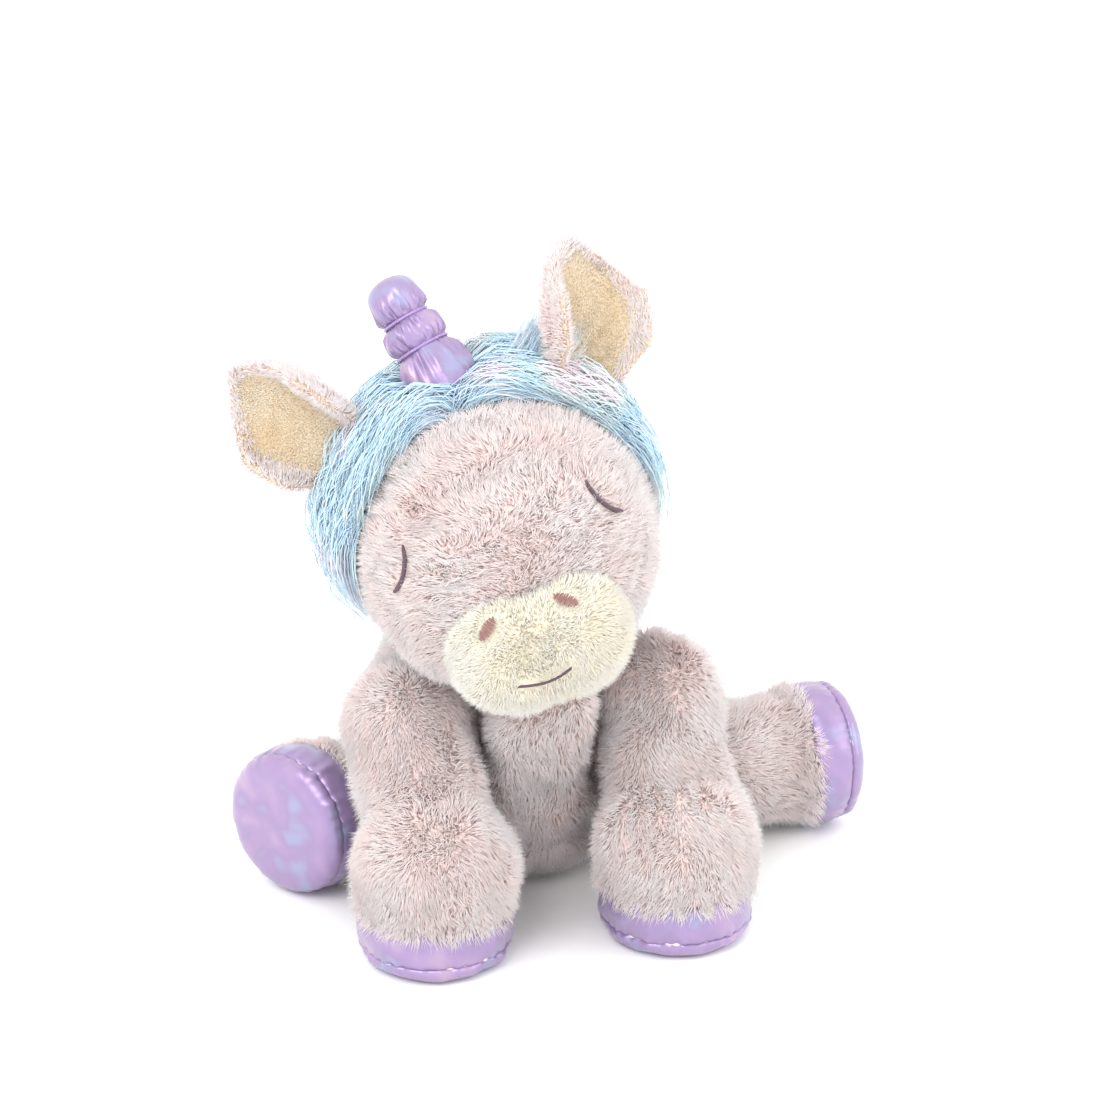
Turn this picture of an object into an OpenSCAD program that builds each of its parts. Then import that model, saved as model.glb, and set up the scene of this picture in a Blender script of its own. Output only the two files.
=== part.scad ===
// Plush unicorn, seated, in soft pile fabric with foil hooves and horn.
// Frame: +Z up, the face towards -Y, origin on the floor under the middle of the seat.
// "right" and "left" are the toy's own. All lengths are in millimetres.

/* [Body] */
// Radius of the seat end of the body
rump_r = 66; // [60:1:74]
// Height of the middle of the rump above the seat
rump_z = 58; // [52:1:60]
// Radius of the chest
chest_r = 56; // [50:1:60]
// Middle of the chest, forwards of the rump
chest_forward = 30; // [24:1:36]
// Height of the middle of the chest
chest_z = 102; // [96:1:108]

/* [Fabric] */
// Thickness of a pile cover, backing and pile together
cover_t = 4; // [3:0.5:5]
// Thickness of the foil cloth
foil_t = 1.2; // [0.8:0.1:1.6]
// Thickness of the cream plush of the ear linings
lining_t = 2; // [1.5:0.25:3]
// Thickness of an embroidered stitch
stitch_t = 0.8; // [0.6:0.1:1.2]
// Gap between a cover and the stuffing or cloth beside it
soft_gap = 0.2; // [0.1:0.05:0.4]
// Clearance round every moving root
swing_gap = 0.4; // [0.3:0.05:0.6]

/* [Head] */
// Radius of the head
head_r = 60; // [54:1:62]
// Sideways place of the middle of the head
head_x = -14; // [-20:1:0]
// Distance of the middle of the head forwards of the seat's middle
head_forward = 64; // [60:1:72]
// Height of the middle of the head
head_z = 163; // [158:1:172]
// Turn of the face towards the toy's right
head_turn = 12; // [0:1:20]
// Lift of the face above level
head_lift = 20; // [10:1:25]
// Sideways lean of the crown towards the toy's right
head_lean = 19.5; // [0:0.5:25]
// Thickness of the stuffing plug in the neck
neck_plug_t = 1.5; // [1:0.1:1.6]
// Thickness of the thread that closes the neck seam
neck_thread_d = 1.4; // [1:0.1:2]

/* [Muzzle] */
// Radius of the muzzle, seen from the side
muzzle_r = 26; // [22:1:28]
// Half the distance between the round ends of the muzzle
muzzle_half = 11; // [8:1:14]
// Middle of the muzzle forwards of the middle of the head
muzzle_forward = 40; // [37:1:43]
// Middle of the muzzle below the middle of the head
muzzle_drop = 38; // [35:1:40]
// Thickness of the cream muzzle panel
muzzle_t = 3; // [2:0.5:4]

/* [Face] */
// Radius of the curve of a closed eye
eye_arc_r = 14.5; // [12:0.5:17]
// Angle of that curve
eye_arc = 84; // [60:2:100]
// Turn of the middle of that curve from straight ahead
eye_side = 53; // [48:1:56]
// Height of the middle of that curve, as an angle
eye_up = 11; // [6:1:16]
// Half the distance between the nostrils
nostril_half = 15.5; // [12:0.5:18]
// Radius of a nostril patch
nostril_r = 3; // [2:0.25:3.5]
// Radius of the curve of the mouth
mouth_arc_r = 26; // [20:1:32]
// Width of the mouth
mouth_w = 19; // [14:1:24]

/* [Horn] */
// Length of the horn from its root to its tip
horn_l = 55; // [48:1:60]
// Radius of the horn's lowest roll
horn_r = 15; // [13:0.5:16]
// Sideways lean of the horn on the head
horn_lean = 11; // [0:1:15]

/* [Ears] */
// Length of an ear from its root
ear_l = 68; // [60:1:74]
// Width of an ear, laid flat
ear_w = 42; // [36:1:46]
// Radius of the curl of an ear
ear_curl_r = 24; // [23:1:28]
// Thickness of the pile cloth on the back of an ear
ear_back_t = 3; // [2:0.5:4]
// Radius of an ear's root
ear_root_r = 9; // [8:0.5:10]

/* [Mane] */
// Thickness of the long pile
mane_t = 5; // [4:0.5:6]
// Width of the strip down the neck
neck_mane_w = 34; // [26:1:40]

/* [Legs] */
// Radius of a front leg at its shoulder
shoulder_r = 29; // [25:1:30]
// Radius of a front leg at its ankle
ankle_r = 28; // [25:1:30]
// Radius of the pile over a front hoof
foot_r = 35; // [33:1:36]
// Radius of a hind leg at its hip
hip_r = 31.5; // [28:0.5:32]
// Radius of a hind leg at its ankle
shank_r = 30; // [27:0.5:31]
// Radius of a hoof
hoof_r = 31; // [29:1:32]
// Height of a hoof
hoof_h = 23; // [20:1:26]
// Rounding of the edge of a hoof
hoof_edge = 5; // [4:0.5:6]
// Swing of a front leg forwards and up
front_swing = 35; // [10:1:35]

/* [Tail] */
// Radius of the tail at its thickest
tail_r = 14; // [11:1:16]
// Length of the tail
tail_l = 62; // [50:1:70]
// Radius of the tail's root
tail_root_r = 9; // [8:0.5:10]

/* [Hidden] */
$fn = 128;

pile_colour = "#E3D3D1";
cream = "#EAE4D2";
foil = "#BFA6DA";
blue_pile = "#C3DAE8";
stuffing = "white";
thread_colour = "#4A3440";

// Roots, toe places and headings of the legs: [x, y, z].
shoulder = [[-52, -46, 82], [50, -52, 88]];
front_toe = [[-49, -88, 0], [50, -88, 0]];
// Room for a front leg's slant between its shoulder and its toe.
splay_room = 3;
ankle_z = 48;
foot_z = 38;
leg_axis_z = 32;
hip = [[-50, -12, leg_axis_z], [52, -6, leg_axis_z]];
hip_gap = 2.5;
hip_waist = 4;
hind_sole = [[-105, -28, leg_axis_z], [149, 2, leg_axis_z]];
hind_heading = [221, 7];
hind_ankle_back = 27;
// A limb's tube is this much thinner than the balls at its ends.
tube_step = 1;

head_at = [head_x, -head_forward, head_z];
chest_at = [0, -chest_forward, chest_z];
rump_at = [0, 0, rump_z];
neck_line = chest_at - head_at;
neck_yaw = atan2(neck_line.y, neck_line.x);
neck_slope = acos(neck_line.z / norm(neck_line));

// Radii of the layers between head and body, from the head outwards.
plug_r = head_r + swing_gap;
neck_thread_r = plug_r + neck_plug_t + swing_gap;
socket_r = neck_thread_r + neck_thread_d + swing_gap;
plug_half_angle = 22;
neck_thread_angle = 28;

horn_at = [-1, -4, sqrt(head_r * head_r - 17)];
horn_mid_r = horn_r * 0.82;
horn_tip_r = horn_r * 0.7;
horn_ring = [24, 37];
horn_ring_r = [10.2, 8.6];
horn_thread_r = 0.6;
horn_hole_r = horn_r + 4.5;

ear_toward = [[-38.5, 5, 45.7], [45.5, 5, 38.7]];
ear_at = [for (d = ear_toward) d * head_r / norm(d)];
ear_lean = [-37, 14];
ear_turn = [-22, 34];
ear_hole_r = 25;
ear_leaf_r = (ear_w * ear_w / 4 + ear_l * ear_l / 4) / ear_w;

hair_tilt = 20;
hair_level = 55;

tail_at = [0, rump_r + 2, rump_z - 16];
tail_slope = 112;
tail_tip_r = tail_r * 0.45;

// ---- placing ----

module on_head() {
    translate(head_at) rotate([0, 0, -head_turn]) rotate([-head_lift, 0, 0])
        rotate([0, -head_lean, 0]) children();
}

module on_horn() {
    on_head() translate(horn_at) rotate([0, -horn_lean, 0]) children();
}

module on_ear(side) {
    on_head() translate(ear_at[side]) rotate([0, ear_lean[side], 0])
        rotate([0, 0, ear_turn[side]]) children();
}

// Puts a piece's +Z along the line from p to q, starting at p.
module along(p, q) {
    d = q - p;
    translate(p) rotate([0, acos(d.z / norm(d)), atan2(d.y, d.x)]) children();
}

// A ball at q whose poles lie on the line from p to q.
module ball(p, q, r) {
    along(p, q) translate([0, 0, norm(q - p)]) sphere(r = r);
}

module floor_cut(level) {
    translate([-250, -250, level - 200]) cube([500, 500, 200]);
}

// ---- legs ----

// A tapered round limb with a ball at each end, drawn in by "waist" at its root.
module limb(p, q, r1, r2, waist) {
    along(p, q) {
        sphere(r = r1);
        translate([0, 0, norm(q - p)]) sphere(r = r2);
        cylinder(h = norm(q - p), r1 = r1 - waist, r2 = r2 - tube_step);
    }
}

// Outside of a hoof, sole at the bottom, its skin drawn in by "inset".
module hoof_form(inset, top) {
    translate([0, 0, hoof_edge]) cylinder(h = top - hoof_edge, r = hoof_r - inset);
    translate([0, 0, inset]) cylinder(h = top - inset, r = hoof_r - hoof_edge);
    translate([0, 0, hoof_edge]) rotate_extrude()
        translate([hoof_r - hoof_edge, 0]) circle(r = hoof_edge - inset);
}

module hoof_wall() {
    difference() {
        hoof_form(0, hoof_h);
        hoof_form(foil_t, hoof_h + 1);
        translate([0, 0, -1]) cylinder(h = foil_t + 2, r = hoof_r - hoof_edge);
    }
}

module hoof_sole() {
    cylinder(h = foil_t, r = hoof_r - hoof_edge - soft_gap);
}

function front_ankle(side) = front_toe[side] + [0, 8, ankle_z];

module front_leg_form(side, inset) {
    limb(shoulder[side], front_ankle(side), shoulder_r - inset, ankle_r - inset, tube_step);
    translate(front_toe[side] + [0, 0, foot_z]) sphere(r = foot_r - inset);
}

module front_cover(side) {
    color(pile_colour) difference() {
        front_leg_form(side, 0);
        front_leg_form(side, cover_t);
        floor_cut(hoof_h + soft_gap);
    }
}

module front_filling(side) {
    color(stuffing) {
        difference() {
            front_leg_form(side, cover_t + soft_gap);
            floor_cut(hoof_h);
        }
        translate(front_toe[side]) hoof_stuffing();
    }
}

module hoof_stuffing() {
    hoof_form(foil_t + soft_gap, hoof_h);
}

module on_front_toe(side) {
    translate(front_toe[side]) children();
}

// The hoof of a hind leg stands on its edge, its sole facing outwards.
module on_hind_toe(side) {
    translate(hind_sole[side]) rotate([0, 0, hind_heading[side]]) rotate([0, -90, 0]) children();
}

function heading(a) = [cos(a), sin(a), 0];
function heading2(a) = [cos(a), sin(a)];
function hind_ankle(side) = hind_sole[side] - heading(hind_heading[side]) * hind_ankle_back;

module hind_leg_form(side, inset) {
    limb(hip[side], hind_ankle(side), hip_r - inset, shank_r - inset, hip_waist);
}

module behind_hoof(side, level) {
    on_hind_toe(side) translate([-100, -100, level - 60]) cube([200, 200, 60]);
}

module hind_cover(side) {
    color(pile_colour) difference() {
        hind_leg_form(side, 0);
        hind_leg_form(side, cover_t);
        behind_hoof(side, hoof_h + soft_gap);
        floor_cut(0);
    }
}

module hind_filling(side) {
    color(stuffing) {
        difference() {
            hind_leg_form(side, cover_t + soft_gap);
            behind_hoof(side, hoof_h);
            floor_cut(cover_t + soft_gap);
        }
        on_hind_toe(side) hoof_stuffing();
    }
}

// Flat-sided space that a front leg swings through, reaching "back" behind its shoulder
// and "in" towards the middle of the chest.
module front_leg_slot(side, back, in) {
    reach = front_ankle(side) - shoulder[side];
    low = atan2(reach.z, reach.y);
    high = low - front_swing;
    l = 2 * norm(reach);
    half = shoulder_r + swing_gap + 1;
    translate(shoulder[side] + [side == 0 ? in : -in, 0, 0]) rotate([90, 0, 90]) mirror([0, 0, side == 0 ? 1 : 0])
        linear_extrude(2 * half + 20) polygon([
            half * heading2(low + 90) - back * heading2(low),
            half * heading2(low + 90) + l * heading2(low),
            half * heading2(high - 90) + l * heading2(high),
            half * heading2(high - 90) - back * heading2(high)
        ]);
}

module front_leg_space(side) {
    ball(chest_at, shoulder[side], shoulder_r + swing_gap);
    front_leg_slot(side, 0, shoulder_r + swing_gap + splay_room);
}

module hind_leg_space(side) {
    ball(rump_at, hip[side], hip_r + hip_gap);
}

// ---- body ----

module body_form(inset) {
    difference() {
        along(rump_at, chest_at) rotate([0, 0, 135]) {
            l = norm(chest_at - rump_at);
            sphere(r = rump_r - inset);
            translate([0, 0, l]) sphere(r = chest_r - inset);
            cylinder(h = l, r1 = rump_r - inset - tube_step, r2 = chest_r - inset - tube_step);
        }
        floor_cut(inset);
    }
}

module body_sockets() {
    ball(chest_at, head_at, socket_r);
    for (side = [0, 1]) {
        front_leg_space(side);
        hind_leg_space(side);
    }
    ball(rump_at, tail_at, tail_root_r + swing_gap);
}

module body_cover() {
    color(pile_colour) difference() {
        body_form(0);
        body_form(cover_t);
        body_sockets();
    }
}

module body_filling() {
    color(stuffing) difference() {
        body_form(cover_t + soft_gap);
        ball(chest_at, head_at, socket_r);
        for (side = [0, 1]) {
            front_leg_slot(side, shoulder_r + 1, shoulder_r + swing_gap + splay_room);
            hind_leg_space(side);
        }
        ball(rump_at, tail_at, tail_root_r + swing_gap);
    }
}

// ---- neck ----

module on_neck() {
    translate(head_at) rotate([0, neck_slope, neck_yaw]) children();
}

module neck_filling() {
    color(stuffing) on_neck() intersection() {
        difference() {
            sphere(r = plug_r + neck_plug_t);
            sphere(r = plug_r);
        }
        cylinder(h = 2 * head_r, r1 = 0, r2 = 2 * head_r * tan(plug_half_angle));
    }
}

module neck_thread() {
    ring_r = neck_thread_r + neck_thread_d / 2;
    color(thread_colour) on_neck() translate([0, 0, ring_r * cos(neck_thread_angle)])
        rotate_extrude() translate([ring_r * sin(neck_thread_angle), 0]) circle(d = neck_thread_d);
}

// ---- head ----

module muzzle_form(inset) {
    translate([0, -muzzle_forward, -muzzle_drop]) {
        for (x = [-muzzle_half, muzzle_half]) translate([x, 0, 0]) sphere(r = muzzle_r - inset);
        rotate([0, 90, 0]) cylinder(h = 2 * muzzle_half, r = muzzle_r - inset - tube_step, center = true);
    }
}

module head_sockets() {
    ball([0, 0, 0], horn_at, horn_r + swing_gap);
    for (side = [0, 1]) ball([0, 0, 0], ear_at[side], ear_root_r + swing_gap);
}

// The skull's ball, its poles at the temples.
module skull(inset) {
    rotate([0, 90, 0]) sphere(r = head_r - inset);
}

module head_cover() {
    color(pile_colour) on_head() difference() {
        skull(0);
        skull(cover_t);
        muzzle_form(-soft_gap);
        head_sockets();
    }
}

module head_filling() {
    color(stuffing) on_head() difference() {
        skull(cover_t + soft_gap);
        head_sockets();
    }
}

module muzzle_filling() {
    color(stuffing) on_head() difference() {
        muzzle_form(muzzle_t + soft_gap);
        skull(cover_t);
    }
}

module muzzle_panel() {
    color(cream) on_head() difference() {
        muzzle_form(0);
        muzzle_form(muzzle_t);
        skull(cover_t);
    }
}

// ---- stitched face ----

module eye_stitch(side) {
    turn = side == 0 ? -eye_side : eye_side;
    ring_r = head_r + stitch_t / 2 + soft_gap;
    color(thread_colour) on_head() rotate([0, 0, turn]) rotate([-eye_up, 0, 0])
        translate([0, -sqrt(ring_r * ring_r - eye_arc_r * eye_arc_r), 0]) rotate([90, 0, 0])
        rotate([0, 0, (side == 0 ? -37 : 217) - eye_arc / 2])
        rotate_extrude(angle = eye_arc) translate([eye_arc_r, 0]) circle(d = stitch_t);
}

module nostril_stitches() {
    color("#8A6360") on_head() intersection() {
        difference() {
            muzzle_form(-stitch_t - soft_gap);
            muzzle_form(-soft_gap);
        }
        for (x = [-nostril_half, nostril_half])
            translate([x, -muzzle_forward, -muzzle_drop + 10]) rotate([90, 0, 0])
                cylinder(h = 2 * muzzle_r, r = nostril_r);
    }
}

module mouth_stitch() {
    color(thread_colour) on_head() intersection() {
        difference() {
            muzzle_form(-stitch_t - soft_gap);
            muzzle_form(-soft_gap);
        }
        translate([0, -muzzle_forward, -muzzle_drop - 13 + mouth_arc_r]) rotate([90, 0, 0])
            intersection() {
                difference() {
                    cylinder(h = 2 * muzzle_r, r = mouth_arc_r + stitch_t);
                    cylinder(h = 2 * muzzle_r, r = mouth_arc_r - stitch_t);
                }
                translate([-mouth_w / 2, -2 * mouth_arc_r, 0]) cube([mouth_w, 2 * mouth_arc_r, 2 * muzzle_r]);
            }
    }
}

// ---- ears ----

module ear_leaf() {
    off = ear_leaf_r - ear_w / 2;
    translate([0, 40, 0]) rotate([90, 0, 0]) linear_extrude(80) intersection() {
        translate([-off, ear_l / 2]) circle(r = ear_leaf_r);
        translate([off, ear_l / 2]) circle(r = ear_leaf_r);
        translate([-ear_w, ear_root_r + 1]) square([2 * ear_w, ear_l]);
    }
}

module ear_layer(outer_r, inner_r) {
    intersection() {
        ear_leaf();
        translate([0, ear_back_t / 2 - ear_curl_r, 0]) difference() {
            cylinder(h = ear_l + 1, r = outer_r);
            translate([0, 0, -1]) cylinder(h = ear_l + 3, r = inner_r);
            translate([-50, -100, -1]) cube([100, 100, ear_l + 3]);
        }
    }
}

// Round root of an ear, with the short neck that carries the cloth.
module ear_root(gap) {
    sphere(r = ear_root_r + gap);
    cylinder(h = ear_root_r * 1.5, r = ear_root_r * 0.6 + gap);
}

module ear_back(side) {
    color(pile_colour) on_ear(side) {
        ear_layer(ear_curl_r, ear_curl_r - ear_back_t);
        ear_root(0);
    }
}

module ear_lining(side) {
    outer = ear_curl_r - ear_back_t - soft_gap;
    color(cream) on_ear(side) difference() {
        ear_layer(outer, outer - lining_t);
        ear_root(soft_gap);
    }
}

// ---- horn ----

module horn_form(inset) {
    difference() {
        union() {
            sphere(r = horn_r - inset);
            translate([0, 0, 10]) sphere(r = horn_r - inset);
            translate([0, 0, horn_ring[0]]) cylinder(h = horn_ring[1] - horn_ring[0], r = horn_ring_r[1] - inset);
            translate([0, 0, (horn_ring[0] + horn_ring[1]) / 2]) sphere(r = horn_mid_r - inset);
            translate([0, 0, horn_l - horn_tip_r]) sphere(r = horn_tip_r - inset);
        }
        for (i = [0, 1]) translate([0, 0, horn_ring[i]]) rotate_extrude()
            translate([horn_ring_r[i] + horn_thread_r, 0]) circle(r = horn_thread_r + soft_gap + inset);
    }
}

module horn_cover() {
    color(foil) on_horn() difference() {
        horn_form(0);
        horn_form(foil_t);
    }
}

module horn_filling() {
    color(stuffing) on_horn() horn_form(foil_t + soft_gap);
}

module horn_threads() {
    color(thread_colour) on_horn() for (i = [0, 1]) translate([0, 0, horn_ring[i]])
        rotate_extrude() translate([horn_ring_r[i] + horn_thread_r, 0]) circle(r = horn_thread_r);
}

// ---- long pile ----

// A cap of long pile, from the brow over the crown, with room for the horn and the ears.
module forelock() {
    color(blue_pile) on_head() difference() {
        rotate([-hair_tilt, 0, 0]) rotate([0, 0, 90]) rotate_extrude() intersection() {
            difference() {
                circle(r = head_r + mane_t);
                circle(r = head_r + soft_gap);
            }
            translate([0, hair_level]) square(2 * head_r);
        }
        ball([0, 0, 0], horn_at, horn_hole_r);
        for (side = [0, 1]) ball([0, 0, 0], ear_at[side], ear_hole_r);
    }
}

module neck_mane() {
    color(blue_pile) difference() {
        intersection() {
            body_form(-mane_t);
            translate([-neck_mane_w / 2, -chest_forward, rump_z]) cube([neck_mane_w, 120, 120]);
        }
        body_form(-soft_gap);
        ball(chest_at, head_at, head_r + mane_t + 2);
    }
}

module tail() {
    middle = [0, 0, tail_l * 0.45];
    color(blue_pile) translate(tail_at) rotate([-tail_slope, 0, 0]) {
        limb([0, 0, 0], middle, tail_root_r, tail_r, tube_step);
        translate(middle) cylinder(h = tail_l * 0.45, r1 = tail_r - tube_step, r2 = tail_tip_r - tube_step);
        translate(middle * 2) sphere(r = tail_tip_r);
    }
}

body_cover();
body_filling();
neck_thread();
neck_filling();
head_cover();
head_filling();
muzzle_panel();
muzzle_filling();
eye_stitch(0);  // eye_stitch_right
eye_stitch(1);  // eye_stitch_left
nostril_stitches();
mouth_stitch();
ear_back(0);  // ear_right_back
ear_lining(0);  // ear_right_lining
ear_back(1);  // ear_left_back
ear_lining(1);  // ear_left_lining
horn_cover();
horn_filling();
horn_threads();
forelock();
neck_mane();
tail();
front_cover(0);  // front_right_cover
front_filling(0);  // front_right_filling
color(foil) on_front_toe(0) hoof_wall();  // front_right_hoof_wall
color(foil) on_front_toe(0) hoof_sole();  // front_right_sole
front_cover(1);  // front_left_cover
front_filling(1);  // front_left_filling
color(foil) on_front_toe(1) hoof_wall();  // front_left_hoof_wall
color(foil) on_front_toe(1) hoof_sole();  // front_left_sole
hind_cover(0);  // hind_right_cover
hind_filling(0);  // hind_right_filling
color(foil) on_hind_toe(0) hoof_wall();  // hind_right_hoof_wall
color(foil) on_hind_toe(0) hoof_sole();  // hind_right_sole
hind_cover(1);  // hind_left_cover
hind_filling(1);  // hind_left_filling
color(foil) on_hind_toe(1) hoof_wall();  // hind_left_hoof_wall
color(foil) on_hind_toe(1) hoof_sole();  // hind_left_sole
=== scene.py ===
import math

import bpy
import numpy as np
from mathutils import Matrix, Vector
from mathutils.bvhtree import BVHTree


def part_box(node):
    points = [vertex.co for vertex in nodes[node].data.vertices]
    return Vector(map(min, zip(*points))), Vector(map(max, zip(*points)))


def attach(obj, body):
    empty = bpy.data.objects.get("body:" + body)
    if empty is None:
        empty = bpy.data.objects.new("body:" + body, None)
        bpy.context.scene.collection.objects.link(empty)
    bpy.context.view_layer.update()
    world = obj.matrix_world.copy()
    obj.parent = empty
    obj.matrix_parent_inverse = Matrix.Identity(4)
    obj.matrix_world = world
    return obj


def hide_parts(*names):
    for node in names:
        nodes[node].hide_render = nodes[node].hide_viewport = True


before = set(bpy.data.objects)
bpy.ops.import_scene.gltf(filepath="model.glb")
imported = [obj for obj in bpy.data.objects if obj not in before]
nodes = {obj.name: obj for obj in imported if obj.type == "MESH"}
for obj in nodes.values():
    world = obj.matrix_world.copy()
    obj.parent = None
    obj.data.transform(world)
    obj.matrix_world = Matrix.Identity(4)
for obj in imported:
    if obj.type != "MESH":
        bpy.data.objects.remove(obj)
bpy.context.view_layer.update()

# ---------------------------------------------------------------- body
# The body is a pear-shaped bag of short-pile minky plush, pink-white, with painted shade darkening each
# strand towards its root, sewn down the back and stuffed firmly with polyester fibre. The pile is about
# 7 mm long and leans over in small tufts.
MM = 0.001
PI = math.pi
scene = bpy.context.scene

# The root colour is darker as painted shade deep in the pile.
PINK_ROOT_SHADE, PINK_MID, PINK_TIP = "#E6D0CE", "#F5EBEA", "#FCF8F8"
BODY_PILE = dict(density=1.9, length=7.0, width=0.58, lean=1.0)


def linear(hex_colour):
    """An sRGB hex colour as the linear numbers that shaders take."""
    parts = [int(hex_colour[i:i + 2], 16) / 255 for i in (1, 3, 5)]
    return [p / 12.92 if p <= 0.04045 else ((p + 0.055) / 1.055) ** 2.4 for p in parts] + [1.0]


def new_material(name):
    material = bpy.data.materials.new(name)
    material.use_nodes = True
    material.node_tree.nodes.clear()
    return material, material.node_tree


def add_node(tree, kind, links=(), **settings):
    """A node with its settings: an input by its name with _ for a space, or an attribute of the node."""
    made = tree.nodes.new(kind)
    for key, value in settings.items():
        if hasattr(made, key):
            setattr(made, key, value)
        else:
            made.inputs[key.replace("_", " ")].default_value = value
    for source, output, target in links:
        tree.links.new(source.outputs[output], made.inputs[target])
    return made


def ramp(tree, source, output, stops):
    """A colour ramp over a number; stops are (place, hex)."""
    made = add_node(tree, "ShaderNodeValToRGB", [(source, output, "Fac")])
    points = made.color_ramp.elements
    while len(points) < len(stops):
        points.new(0.5)
    for point, (place, colour) in zip(points, stops):
        point.position, point.color = place, linear(colour)
    return made


def blend_colours(tree, fac, colour_a, colour_b, mode="MIX"):
    """Mixes two colour outputs by a number or a (node, output)."""
    made = add_node(tree, "ShaderNodeMix", data_type="RGBA", blend_type=mode)
    if isinstance(fac, (int, float)):
        made.inputs[0].default_value = fac
    else:
        tree.links.new(fac[0].outputs[fac[1]], made.inputs[0])
    for socket, colour in ((6, colour_a), (7, colour_b)):
        if isinstance(colour, str):
            made.inputs[socket].default_value = linear(colour)
        else:
            tree.links.new(colour[0].outputs[colour[1]], made.inputs[socket])
    return made


def noise_at(tree, cells_mm, detail=3.0, roughness=0.55):
    """Noise whose cells are that many millimetres across."""
    place = add_node(tree, "ShaderNodeTexCoord")
    return add_node(tree, "ShaderNodeTexNoise", [(place, "Object", "Vector")],
                    Scale=1 / (cells_mm * MM), Detail=detail, Roughness=roughness)


def pile_material(name, root, mid, tip, shade, gloss=0.12, sheen=0.6):
    """Pile fibre: painted shade at the root, pale at the tip, with random patches of painted shade standing in
    for pile brushed the other way.
    """
    material, tree = new_material(name)
    strand = add_node(tree, "ShaderNodeAttribute", attribute_name="strand")
    split = add_node(tree, "ShaderNodeSeparateXYZ", [(strand, "Vector", "Vector")])
    # This ramp darkens each strand towards its root as painted shade.
    along = ramp(tree, split, "X", [(0.0, root), (0.45, mid), (1.0, tip)])
    # Random patches multiplied in as painted shade, standing in for pile brushed the other way.
    patch_shade = ramp(tree, noise_at(tree, 26), "Fac", [(0.38, "#FFFFFF"), (0.68, shade)])
    root_and_patch_shade = blend_colours(tree, 0.8, (along, "Color"), (patch_shade, "Color"), "MULTIPLY")
    own = ramp(tree, split, "Y", [(0.0, "#F6F2F1"), (0.4, "#FFFFFF"), (1.0, "#FFFFFF")])
    colour = blend_colours(tree, 0.7, (root_and_patch_shade, 2), (own, "Color"), "MULTIPLY")
    shader = add_node(tree, "ShaderNodeBsdfPrincipled", [(colour, 2, "Base Color")], Roughness=0.8,
                      Specular_IOR_Level=gloss, Sheen_Weight=sheen, Sheen_Roughness=0.5)
    add_node(tree, "ShaderNodeOutputMaterial", [(shader, "BSDF", "Surface")])
    return material


def backing_material(name, colour, shade):
    """Knitted backing under the pile: a matt cloth of the pile's own colour, with a grain of about 1 mm."""
    material, tree = new_material(name)
    grain = noise_at(tree, 1.1)
    tint = ramp(tree, grain, "Fac", [(0.3, shade), (0.7, colour)])
    bump = add_node(tree, "ShaderNodeBump", [(grain, "Fac", "Height")], Strength=0.5, Distance=0.4 * MM)
    shader = add_node(tree, "ShaderNodeBsdfPrincipled",
                      [(tint, "Color", "Base Color"), (bump, "Normal", "Normal")],
                      Roughness=0.9, Sheen_Weight=0.3)
    add_node(tree, "ShaderNodeOutputMaterial", [(shader, "BSDF", "Surface")])
    return material


def only(piece):
    bpy.ops.object.select_all(action="DESELECT")
    piece.select_set(True)
    bpy.context.view_layer.objects.active = piece


def places(piece):
    """A mesh's points in millimetres."""
    flat = np.empty(len(piece.data.vertices) * 3)
    piece.data.vertices.foreach_get("co", flat)
    return flat.reshape(-1, 3) / MM


def put(piece, points):
    piece.data.vertices.foreach_set("co", (points * MM).ravel())
    piece.data.update()


def finish_modifier(piece, name, kind, **settings):
    only(piece)
    made = piece.modifiers.new(name, kind)
    for key, value in settings.items():
        setattr(made, key, value)
    bpy.ops.object.modifier_apply(modifier=made.name)


def stuff(skin, cap, seam):
    """Blows the skin up from inside as its stuffing does; seam(points) picks the points the thread holds."""
    rest = places(skin)
    held = skin.vertex_groups.new(name="seam")
    held.add([int(i) for i in np.flatnonzero(seam(rest))], 1.0, "REPLACE")
    cloth = skin.modifiers.new("Stuffing", "CLOTH")
    settings = cloth.settings
    frames = 20
    settings.quality, settings.mass = 4, 0.2
    settings.tension_stiffness = settings.compression_stiffness = 6
    settings.shear_stiffness, settings.bending_stiffness = 3, 0.3
    settings.use_pressure, settings.uniform_pressure_force = True, 4
    settings.effector_weights.gravity = 0
    settings.vertex_group_mass = "seam"
    cloth.point_cache.frame_start, cloth.point_cache.frame_end = 1, frames
    for step in range(1, frames + 1):
        scene.frame_set(step)
    seen = skin.evaluated_get(bpy.context.evaluated_depsgraph_get())
    flat = np.empty(len(seen.data.vertices) * 3)
    seen.data.vertices.foreach_get("co", flat)
    moved = flat.reshape(-1, 3) / MM - rest
    skin.modifiers.remove(cloth)
    skin.vertex_groups.clear()
    scene.frame_set(1)
    far = np.linalg.norm(moved, axis=1, keepdims=True)
    put(skin, rest + moved * np.minimum(1, cap / np.maximum(far, 1e-6)))


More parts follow.
